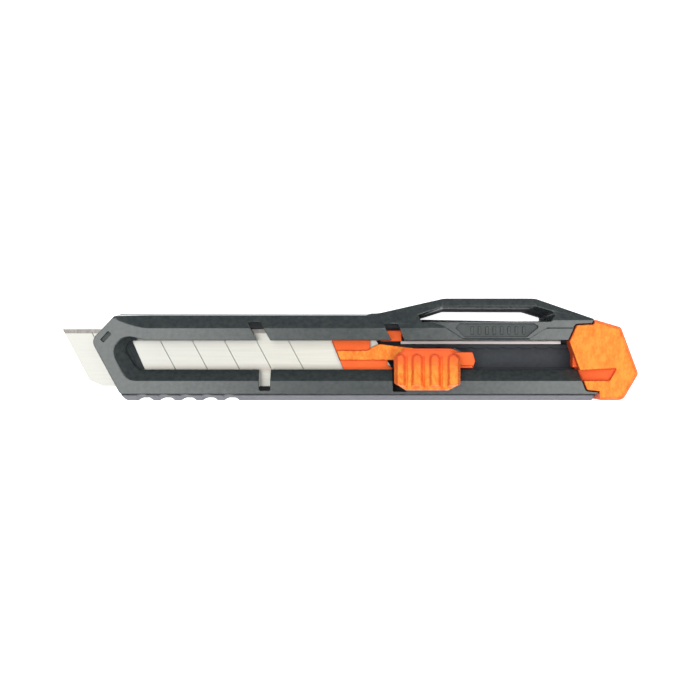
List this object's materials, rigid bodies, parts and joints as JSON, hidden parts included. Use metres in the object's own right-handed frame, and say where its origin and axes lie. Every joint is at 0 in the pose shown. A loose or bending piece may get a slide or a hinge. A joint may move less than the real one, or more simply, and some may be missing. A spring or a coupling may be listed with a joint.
{
  "type": "snap-off knife",
  "caption": "Snap-off utility knife with a windowed plastic handle, a sliding segmented blade, a ribbed thumb button, a hump with a hanging slot and a pull-off end cap.",
  "frame": {"origin": "on the plane of the handle's flat back, at the middle of the blade's width and half way along the knife", "axes": "+Z out of the slider side, -X towards the blade's tip, +Y towards the cutting edge and the hump"},
  "size_m": [0.1801, 0.0322, 0.0184],
  "materials": {
    "black_plastic": "satin moulded",
    "orange_plastic": "glossy moulded",
    "blade_steel": "ground bright",
    "spring_steel": "cold rolled"
  },
  "bodies": {
    "handle": {"front_shell": "black_plastic", "back_shell": "black_plastic", "guide_rail": "spring_steel"},
    "slider": {"blade_carrier": "orange_plastic", "blade": "blade_steel", "lock_spring": "spring_steel"},
    "button": {"thumb_button": "orange_plastic"},
    "cap": {"end_cap": "orange_plastic"}
  },
  "joints": [
    {"name": "blade_slide", "type": "slide", "parent": "handle", "child": "slider", "axis": [-1, 0, 0], "range_m": [-0.02525, 0.05555], "deforming": ["lock_spring"]},
    {"name": "button_press", "type": "slide", "parent": "slider", "child": "button", "axis": [0, 0, -1], "range_m": [0, 0.0008], "stiffness_N_per_m": 1500},
    {"name": "cap_pull", "type": "slide", "parent": "handle", "child": "cap", "axis": [1, 0, 0], "range_m": [0, 0.03]}
  ]
}
